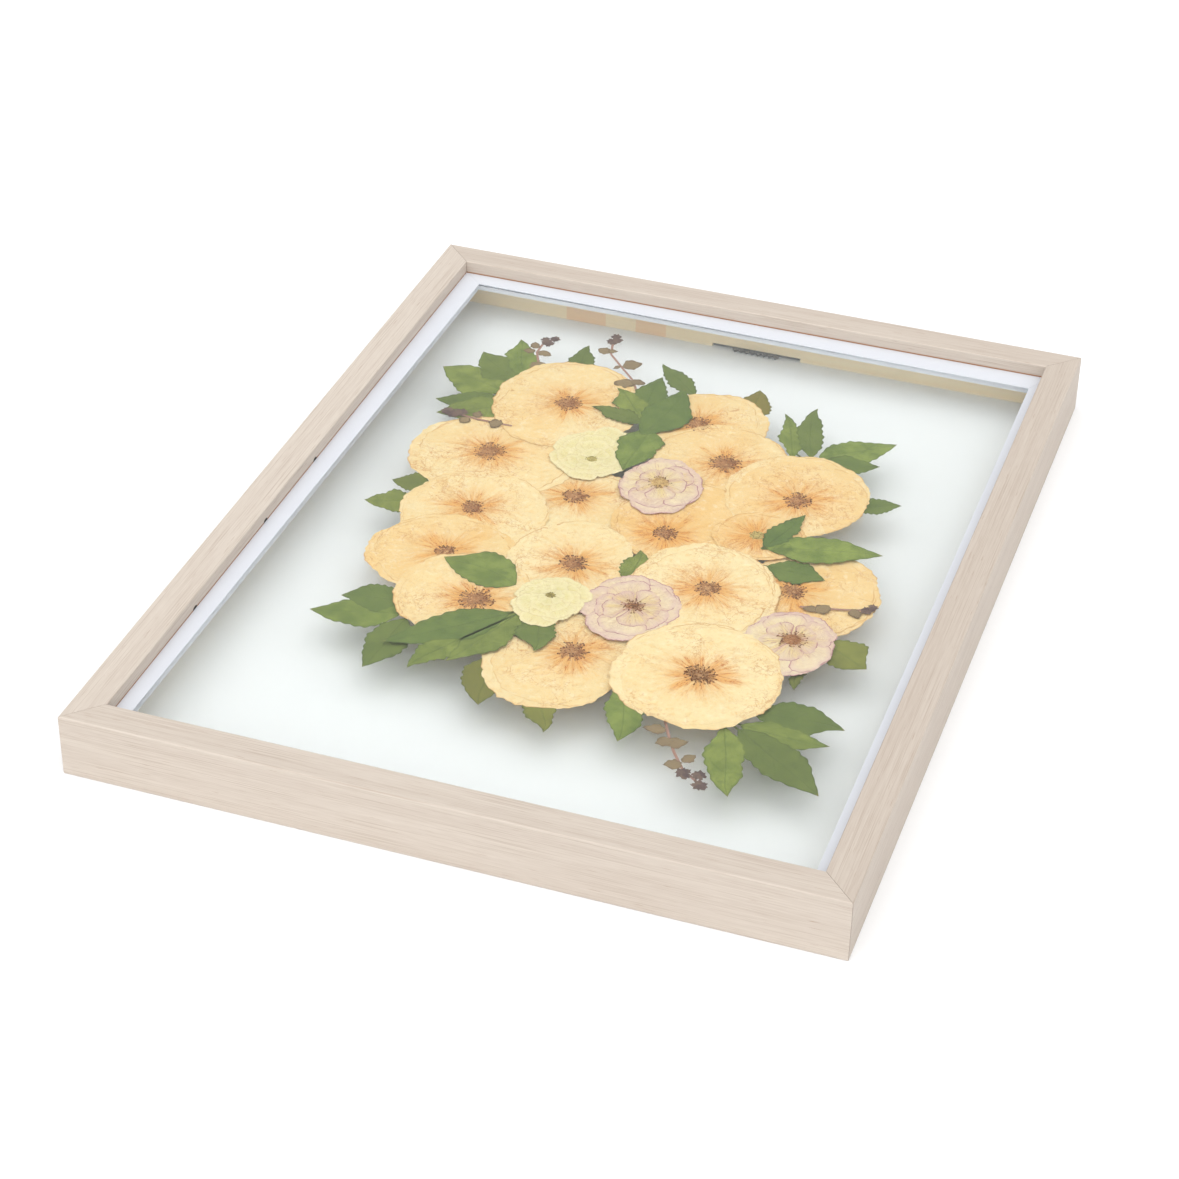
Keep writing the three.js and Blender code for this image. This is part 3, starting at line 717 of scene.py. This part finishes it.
# %% Roses
# Each rose: its heart's x and y, its mood from cream to apricot, and its heart's radius.
ROSES = {
    "rose_1": (-62, 109, 0.45, 6.0), "rose_2": (-82, 56, 0.35, 7.0), "rose_3": (-72, 8, 0.2, 5.2),
    "rose_4": (-70, -30, 0.7, 4.6), "rose_5": (-44, -60, 0.4, 7.5), "rose_6": (-14, -19, 0.15, 6.0),
    "rose_7": (-32, 34, 0.2, 5.6), "rose_8": (16, 18, 0.85, 5.2), "rose_9": (24, 84, 0.65, 7.2),
    "rose_10": (2, 113, 0.5, 6.2), "rose_11": (64, 64, 0.55, 6.0), "rose_12": (55, 30, 0.7, 3.0),
    "rose_13": (47, -18, 0.1, 5.2), "rose_14": (82, -5, 0.6, 5.6), "rose_15": (63, -80, 0.12, 6.6),
    "rose_16": (7, -80, 0.3, 6.2),
}
# Each whorl: the number of its petals, their size, and how far they overlap their neighbours.
WHORLS = ((6, 1.0, 0.86), (5, 0.93, 0.7))
STAMENS = 120
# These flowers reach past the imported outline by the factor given, to close the gaps between them.
WIDER = {
    "rose_1": 1.05, "rose_2": 1.1, "rose_4": 1.07, "rose_7": 1.24, "rose_8": 1.14, "rose_9": 1.12,
    "rose_10": 1.07, "rose_12": 1.3, "rose_13": 1.09, "rose_14": 1.24, "rose_16": 1.05,
    "pink_flower_1": 1.08, "pink_flower_2": 1.04, "ranunculus_1": 1.12,
}

for number, (name, (heart_x, heart_y, mood, heart_radius)) in enumerate(ROSES.items()):
    rng = random.Random(number + 11)
    outline = flower_outline(name)
    heart = on_layout(heart_x, heart_y)
    z = outline[4] + PETAL_THICKNESS
    press = new_press()
    start = rng.uniform(0, 2 * math.pi)
    for whorl, (count, size, spread) in enumerate(WHORLS):
        for i in range(count):
            angle = start + whorl * 0.5 + i / count * 2 * math.pi + rng.uniform(-0.08, 0.08)
            half_span = math.pi / count * (1 + spread)
            petal_size = size * rng.uniform(0.92, 1.02) * WIDER.get(name, 1.0)
            petal_mood = mood + rng.uniform(-0.25, 0.22)
            lay_petal(press, outline, heart, angle, half_span, petal_size, z, rng, petal_mood)
            z += PETAL_STEP
    finish_press(press, name + "_petals", ROSE_PETALS, name, PETAL_THICKNESS)
    greenish = 0.8 if name == "rose_12" else 0.0
    core_tone = rng.uniform(0.62, 0.85)
    add_heart(name + "_stamens", heart, z, heart_radius, STAMENS, rng, greenish, core_tone)
print("roses:", len(ROSES))

# %% [markdown]
# ## Ranunculus and pink flowers
# The ranunculus have four rings of many small ruffled petals round a green eye. The pink flowers
# have three rings of rounded petals whose mauve rims stand out, round a ring of brown stamens. Both
# use the rose's petal, with more petals, smaller spans and a small notch.

# %% Ranunculus and pink flowers
# Each flower: heart x and y, its finish, rings of (petals, size, spread), heart radius, its eye's
# mood, the number of stamens, the core's tone, and how much of the heart the middle disc fills.
CREAM_RINGS = ((9, 1.0, 0.5), (8, 0.8, 0.5), (7, 0.58, 0.55), (6, 0.36, 0.6))
PINK_RINGS = ((6, 1.0, 0.4), (5, 0.88, 0.2), (5, 0.6, 0.1))
ALL_RINGS_HEIGHT = 0.19
SMALL_FLOWERS = {
    "ranunculus_1": (-35, 65, RANUNCULUS_PETALS, CREAM_RINGS, 2.6, 1.0, 14, 0.3, 0.9),
    "ranunculus_2": (-15, -47, RANUNCULUS_PETALS, CREAM_RINGS, 2.2, 0.9, 14, 0.4, 0.9),
    "pink_flower_1": (1, 56, PINK_PETALS, PINK_RINGS, 4.8, 0.3, 60, 0.95, 0.8),
    "pink_flower_2": (21, -42, PINK_PETALS, PINK_RINGS, 4.8, 0.0, 60, 0.2, 0.45),
    "pink_flower_3": (92, -42, PINK_PETALS, PINK_RINGS, 6.2, 0.0, 80, 0.6, 0.6),
}

for number, (name, settings) in enumerate(SMALL_FLOWERS.items()):
    heart_x, heart_y, finish, rings, heart_radius, eye, stamens, core_tone, disc_share = settings
    rng = random.Random(number + 71)
    outline = flower_outline(name)
    heart = on_layout(heart_x, heart_y)
    z = outline[4] + PETAL_THICKNESS
    press = new_press()
    start = rng.uniform(0, 2 * math.pi)
    step = ALL_RINGS_HEIGHT / sum(count for count, _, _ in rings)
    for ring, (count, size, spread) in enumerate(rings):
        for i in range(count):
            angle = start + ring * 0.4 + i / count * 2 * math.pi + rng.uniform(-0.12, 0.12)
            half_span = math.pi / count * (1 + spread)
            petal_size = size * rng.uniform(0.84, 1.03) * WIDER.get(name, 1.0)
            mood = rng.uniform(0.0, 1.0)
            lay_petal(
                press, outline, heart, angle, half_span, petal_size, z, rng, mood, corner=0.26, notch=0.02
            )
            z += step
    finish_press(press, name + "_petals", finish, name, min(PETAL_THICKNESS, step * 0.7))
    add_heart(
        name + "_stamens", heart, z, heart_radius, stamens, rng, eye, core_tone, disc_share
    )
print("small flowers:", len(SMALL_FLOWERS))

# %% [markdown]
# ## Leaves
# A leaflet is one sheet along its midrib: its width follows a sine that is fullest before the
# middle, and its edges carry small teeth and waves. A compound leaf has several leaflets whose
# stalks meet in one point. The finish draws the midrib, the side veins and a dark rim from the
# traits, and dries the tip to a straw colour. The rim is partly the leaf's own darker edge and partly
# a painted shade where leaflets overlap; every other leaflet is darker, partly as painted shade too,
# and thin dark fold lines are painted shade.

# %% Leaf finish
leaf_finish, tree, shader = new_finish("leaf_pressed", roughness=0.6, specular=0.3)
turn, distance, reach, brim, tone, mood = (trait(tree, name) for name in TRAITS)
blotch = cloud(tree, object_place(tree), scale=110.0, detail=4.0, roughness=0.6)
green = tint(tree, ease(tree, blotch, 0.3, 0.7), paint("#667A33"), paint("#8A9A49"))
# Tone darkens a leaflet: partly each leaflet's own tone, partly a painted shade, since every other
# leaflet is made darker to part overlapping leaflets.
green = tint(tree, tone, green, paint("#4E6630"), share=0.8)
leaf_colour = tint(tree, mood, green, paint("#7C7230"))

lean = calc(tree, "MULTIPLY", calc(tree, "ABSOLUTE", turn), -2.2)
up_the_leaf = calc(tree, "ADD", calc(tree, "MULTIPLY", reach, 9.0), lean)
side_vein = ease(tree, calc(tree, "PINGPONG", up_the_leaf, 1.0), 0.14, 0.0)
midrib = ease(tree, calc(tree, "ABSOLUTE", distance), 0.4, 0.1)
veins = calc(tree, "MAXIMUM", calc(tree, "MULTIPLY", side_vein, 0.35), midrib)
leaf_colour = tint(tree, veins, leaf_colour, paint("#4A5C2A"), share=0.34)

leaf_colour = tint(tree, ease(tree, reach, 0.95, 1.0), leaf_colour, paint("#B5A861"), share=0.7)
# Painted shade: thin dark lines along random folds, which have no relief of their own.
fold_cloud = cloud(tree, object_place(tree, (60.0, 60.0, 1.0)), distortion=0.8)
fold = line_where(tree, fold_cloud, 0.5, 0.012)
leaf_colour = tint(tree, fold, leaf_colour, paint("#3B4B22"), share=0.3)
# A dark rim along each leaflet's edge: partly the leaf's own darker edge, partly a painted shade where
# leaflets overlap.
leaf_colour = tint(tree, ease(tree, brim, 0.8, 0.1), leaf_colour, paint("#3B4B22"), share=0.5)
set_colour(tree, shader, leaf_colour)

leaf_grain = cloud(tree, object_place(tree), scale=500.0, detail=4.0)
ribbing = calc(tree, "ADD", leaf_grain, calc(tree, "MULTIPLY", veins, -0.8))
set_bump(tree, shader, ribbing, distance_mm=0.3, strength=0.5)
print("leaf finish:", leaf_finish.name)

# %% Leaflets and stalks
LEAF_THICKNESS = 0.05
LEAF_CELLS = (12, 56)
LEAF_STEP = 0.025
TEETH = 9
TOOTH = 1.0
WAVE = 3.2
TIP_CURL = 22.0
STALK_CELLS = (2, 4)
STALK_HALF_WIDTH = 0.5


def lay_leaflet(press, leaflet, z, rng, tone, mood):
    """One leaflet; tooth and wave move its edge by TOOTH and WAVE millimetres at most."""
    base_x, base_y, tip_x, tip_y, half_width, bow = leaflet
    base, tip = on_layout(base_x, base_y), on_layout(tip_x, tip_y)
    along = (tip - base).normalized()
    sideways = Vector((-along.y, along.x))
    seed, hook = rng.uniform(0, 90), rng.choice((-1.4, -0.7, 0.7, 1.4))

    def shape(u, v):
        width = half_width * math.sin(math.pi * v**0.82)
        side = 1 if u > 0 else -1
        tooth = math.sin(math.pi * ((v * TEETH + side * 0.25) % 1.0) ** 1.6)
        wave = noise.noise(Vector((v * 4.0, side * 3.0, seed)))
        edge = abs(u) ** 2 * (TOOTH * tooth + WAVE * wave) / half_width
        curl = hook * max(0.0, v - 0.75) ** 2 * TIP_CURL
        off = width * u * (1 + edge) + bow * math.sin(math.pi * v) + curl
        spot = base.lerp(tip, v) + sideways * off
        traits = {
            "turn": u, "distance": width * u, "reach": v,
            "brim": width * (1 - abs(u)), "tone": tone, "mood": mood,
        }
        return (spot.x, spot.y, z), traits

    lay_sheet(press, LEAF_CELLS, shape)


def lay_stalk(press, start, end, half_width, z, tone, mood):
    start, end = on_layout(*start), on_layout(*end)
    along = (end - start).normalized()
    sideways = Vector((-along.y, along.x))

    def shape(u, v):
        spot = start.lerp(end, v) + sideways * half_width * u
        traits = {"turn": 0.0, "distance": 0.0, "reach": 0.5, "tone": tone, "mood": mood}
        return (spot.x, spot.y, z), traits

    lay_sheet(press, STALK_CELLS, shape)


print("faces in a leaflet before it gets its thickness:", LEAF_CELLS[0] * LEAF_CELLS[1])

# %% Leaves
# Each leaf: its mood from green to olive, where its stalks meet, and its leaflets as base x and y,
# tip x and y, half width and the sideways bow of the midrib, in millimetres.
LEAVES = {
    "leaf_top_left": (0.1, (-80, 116), (
        (-94, 109, -131, 122, 13, 0), (-92, 121, -119, 140, 10, 0), (-90, 126, -103, 160, 7, 2),
        (-92, 101, -123, 90, 8, 0), (-88, 98, -118, 79, 10, 0), (-65, 132, -73, 165, 6, 0),
    )),
    "leaf_top_middle": (0.15, (-6, 136), ((-8, 138, -33, 160, 5, -1),)),
    "leaf_top_brown": (1.0, (22, 122), ((22, 125, 21, 154, 8, 0),)),
    "leaf_centre": (0.1, (-22, 103), (
        (-24, 110, -28, 147, 7, 1), (-24, 106, -43, 131, 7, 0), (-23, 103, -50, 111, 5, 0),
        (-17, 100, -19, 60, 9.5, 0), (-20, 93, -13, 140, 10.5, -2),
    )),
    "leaf_top_right": (0.1, (62, 98), (
        (52, 100, 39, 138, 5, 0), (60, 103, 49, 147, 6, 1), (63, 105, 95, 128, 9, 0),
        (66, 101, 92, 106, 7, 0),
    )),
    "leaf_right_edge": (0.1, (86, 66), ((89, 69, 109, 79, 6, 0),)),
    "leaf_right": (0.05, (60, 20), ((62, 21, 112, 34, 10, 1), (61, 21, 72, 53, 5, 0))),
    "leaf_right_small": (0.05, (64, 9), ((66, 9, 93, 8, 8, 0),)),
    "leaf_right_low": (0.45, (98, -38), ((103, -37, 126, -50, 10, 1), (97, -44, 101, -74, 4, 0))),
    "leaf_bottom_right": (0.2, (82, -104), (
        (90, -94, 129, -92, 9.5, 0), (88, -105, 126, -108, 7, 0), (88, -108, 131, -138, 9.5, 0),
        (82, -108, 95, -152, 8, 1),
    )),
    "leaf_bottom_middle": (0.15, (34, -95), ((35, -98, 46, -134, 8, 1),)),
    "leaf_bottom_left": (0.6, (-12, -94), ((-24, -93, -19, -129, 9.5, 1), (0, -108, 16, -136, 6, 0))),
    "leaf_left_low": (0.1, (-21, -60), (
        (-23, -62, -39, -107, 10, 0), (-27, -65, -70, -104, 10, 0), (-40, -90, -55, -116, 6, 0),
        (-15, -62, -6, -87, 8, 0),
    )),
    "leaf_left_back": (0.15, (-68, -76), (
        (-68, -82, -71, -121, 9, 0), (-71, -79, -109, -91, 10, 0), (-72, -70, -101, -74, 9, 0),
    )),
    "leaf_oval": (0.0, (-33, -44), ((-32, -44, -69.5, -36.7, 12, -4),)),
    "leaf_left_middle": (0.3, (-92, 14), ((-98, 21, -115, 16, 7, 0), (-98, 6, -120, -4, 8, 0))),
    "leaf_small_centre": (0.3, (13, -24), ((12.5, -25, 12, 1, 6, 0),)),
}

for number, (name, (mood, hub, leaflets)) in enumerate(LEAVES.items()):
    rng = random.Random(number + 131)
    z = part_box(name)[0].z / MM + LEAF_THICKNESS
    press = new_press()
    for i, leaflet in enumerate(leaflets):
        # Every other leaflet gets a darker tone: partly a painted shade that parts overlapping leaflets,
        # partly a random tone of its own.
        tone = 0.7 * ((i + number) % 2) + rng.uniform(0.0, 0.3)
        base = Vector(leaflet[0:2])
        into_leaf = base.lerp(Vector(leaflet[2:4]), 0.15)
        lay_stalk(press, hub, into_leaf, STALK_HALF_WIDTH, z, 0.5, mood)
        lay_leaflet(press, leaflet, z + LEAF_STEP, rng, tone, mood + rng.uniform(-0.08, 0.12))
        z += LEAF_STEP
    finish_press(press, name + "_blades", leaf_finish, name, LEAF_THICKNESS / 2)
print("leaves:", len(LEAVES))

# %% [markdown]
# ## Bud sprigs
# A sprig has a pinkish stem, pairs of small round leaves and a knot of dark buds at its tip. The
# stem is a chain of flat stalks, a round leaf is a leaflet with a nearly round outline, and a knot
# is a handful of small crumpled leaves fanned over each other.

# %% Sprig finish
sprig_finish, tree, shader = new_finish("sprig_brown", roughness=0.7, specular=0.25)
brim, tone, mood = trait(tree, "brim"), trait(tree, "tone"), trait(tree, "mood")
mottle = cloud(tree, object_place(tree), scale=600.0, detail=4.0)
round_leaf = tint(tree, ease(tree, brim, 1.2, 0.2), paint("#998660"), paint("#74603F"))
round_leaf = tint(tree, tone, round_leaf, paint("#7C6A55"), share=0.5)
bud = tint(tree, tone, paint("#4E3D40"), paint("#7B6558"))
sprig_colour = tint(tree, ease(tree, mood, 0.1, 0.4), paint("#AC8476"), round_leaf)
sprig_colour = tint(tree, ease(tree, mood, 0.6, 0.9), sprig_colour, bud)
sprig_colour = tint(tree, mottle, sprig_colour, paint("#6A5546"), share=0.35)
set_colour(tree, shader, sprig_colour)
set_bump(tree, shader, mottle, distance_mm=0.25, strength=0.6)
print("sprig finish:", sprig_finish.name)

# %% Round leaves and buds
STEM_HALF_WIDTH = 0.6
SPRIG_THICKNESS = 0.01
SPRIG_STEP = 0.01
BUD_STEP = 0.003
ROUND_LEAF_CELLS = (8, 12)
STEM_MOOD, LEAF_MOOD, BUD_MOOD = 0.0, 0.5, 1.0


def lay_round_leaf(press, x, y, radius, heading, z, rng, mood, crumple=0.35):
    tone, seed, fold = rng.random(), rng.uniform(0, 90), rng.uniform(0.6, 1.0)
    along = Vector((math.cos(heading), math.sin(heading)))
    sideways = Vector((-along.y, along.x))

    def shape(u, v):
        width = radius * fold * math.sin(math.pi * (0.04 + 0.96 * v) ** 0.9) ** 0.75 if v < 1 else 0.0
        wobble = 1 + crumple * noise.noise(Vector((u * 2.0, v * 5.0, seed)))
        spot = on_layout(x, y) + along * radius * (2 * v - 1) * wobble + sideways * width * u * wobble
        traits = {
            "turn": u, "distance": width * u, "reach": v,
            "brim": min(width * (1 - abs(u)), radius * 2 * (1 - v)), "tone": tone, "mood": mood,
        }
        return (spot.x, spot.y, z), traits

    lay_sheet(press, ROUND_LEAF_CELLS, shape)


print("moods of stem, round leaf and bud:", STEM_MOOD, LEAF_MOOD, BUD_MOOD)

# %% Bud sprigs
# Each sprig: its stem's bends, its round leaves as x, y, radius and heading in degrees, and its bud
# knots as x, y and radius.
SPRIGS = {
    "sprig_top_left": (
        ((-84, 136), (-89, 141), (-93, 150), (-93, 158), (-89, 165)),
        ((-88, 138, 4.2, 40), (-89, 150, 3.6, -10), (-97, 150, 2.8, 190), (-96, 156, 3.2, 110)),
        ((-91, 160, 3.4), (-93, 163, 2.6), (-89, 165, 2.8)),
    ),
    "sprig_top": (
        ((-34, 129), (-40, 140), (-50, 151), (-58, 160), (-60, 168), (-61, 178)),
        ((-43, 136, 5.0, 200), (-37, 139, 3.6, 0), (-45, 154, 4.6, 40), (-51, 149, 2.2, 230),
         (-62, 162, 3.4, 170), (-58, 163, 2.2, 10)),
        ((-61, 172, 3.4), (-61, 177, 2.8), (-59, 174, 2.6)),
    ),
    "sprig_left": (
        ((-80, 80), (-98, 80), (-112, 82)),
        ((-88, 79, 3.8, 265), (-99, 84, 3.0, 100), (-103, 77, 3.0, 250)),
        ((-107, 83, 3.6), (-113, 82, 3.6), (-110, 80, 3.0)),
    ),
    "sprig_right": (
        ((88, -16), (98, -14), (109, -11), (118, -8)),
        ((93, -16, 3.6, 190), (98, -14, 3.8, 60), (112, -13, 3.4, 300)),
        ((116, -9, 3.0), (118, -6, 2.4)),
    ),
    "sprig_bottom": (
        ((58, -112), (62, -120), (68, -131), (75, -141), (85, -148)),
        ((56, -119, 4.6, 190), (67, -125, 5.0, 30), (62, -126, 3.6, 220), (75, -133, 3.6, 60),
         (70, -139, 3.6, 200)),
        ((76, -143, 3.6), (82, -142, 3.2), (84, -148, 3.4)),
    ),
}
KNOT_LEAVES = 8

for number, (name, (stem, round_leaves, knots)) in enumerate(SPRIGS.items()):
    rng = random.Random(number + 191)
    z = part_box(name)[0].z / MM + LEAF_THICKNESS
    press = new_press()
    for start, end in zip(stem, stem[1:]):
        lay_stalk(press, start, end, STEM_HALF_WIDTH, z, 0.5, STEM_MOOD)
    z += SPRIG_STEP
    for x, y, radius, heading in round_leaves:
        lay_round_leaf(press, x, y, radius, math.radians(heading), z, rng, LEAF_MOOD)
        z += SPRIG_STEP
    for x, y, radius in knots:
        for i in range(KNOT_LEAVES):
            heading = i / KNOT_LEAVES * 2 * math.pi + rng.uniform(-0.3, 0.3)
            off = radius * 0.45
            leaf_x, leaf_y = x + off * math.cos(heading), y + off * math.sin(heading)
            lay_round_leaf(press, leaf_x, leaf_y, radius * 0.5, heading, z, rng, BUD_MOOD, crumple=0.7)
            z += BUD_STEP
    finish_press(press, name + "_pressed", sprig_finish, name, SPRIG_THICKNESS)
print("sprigs:", len(SPRIGS))
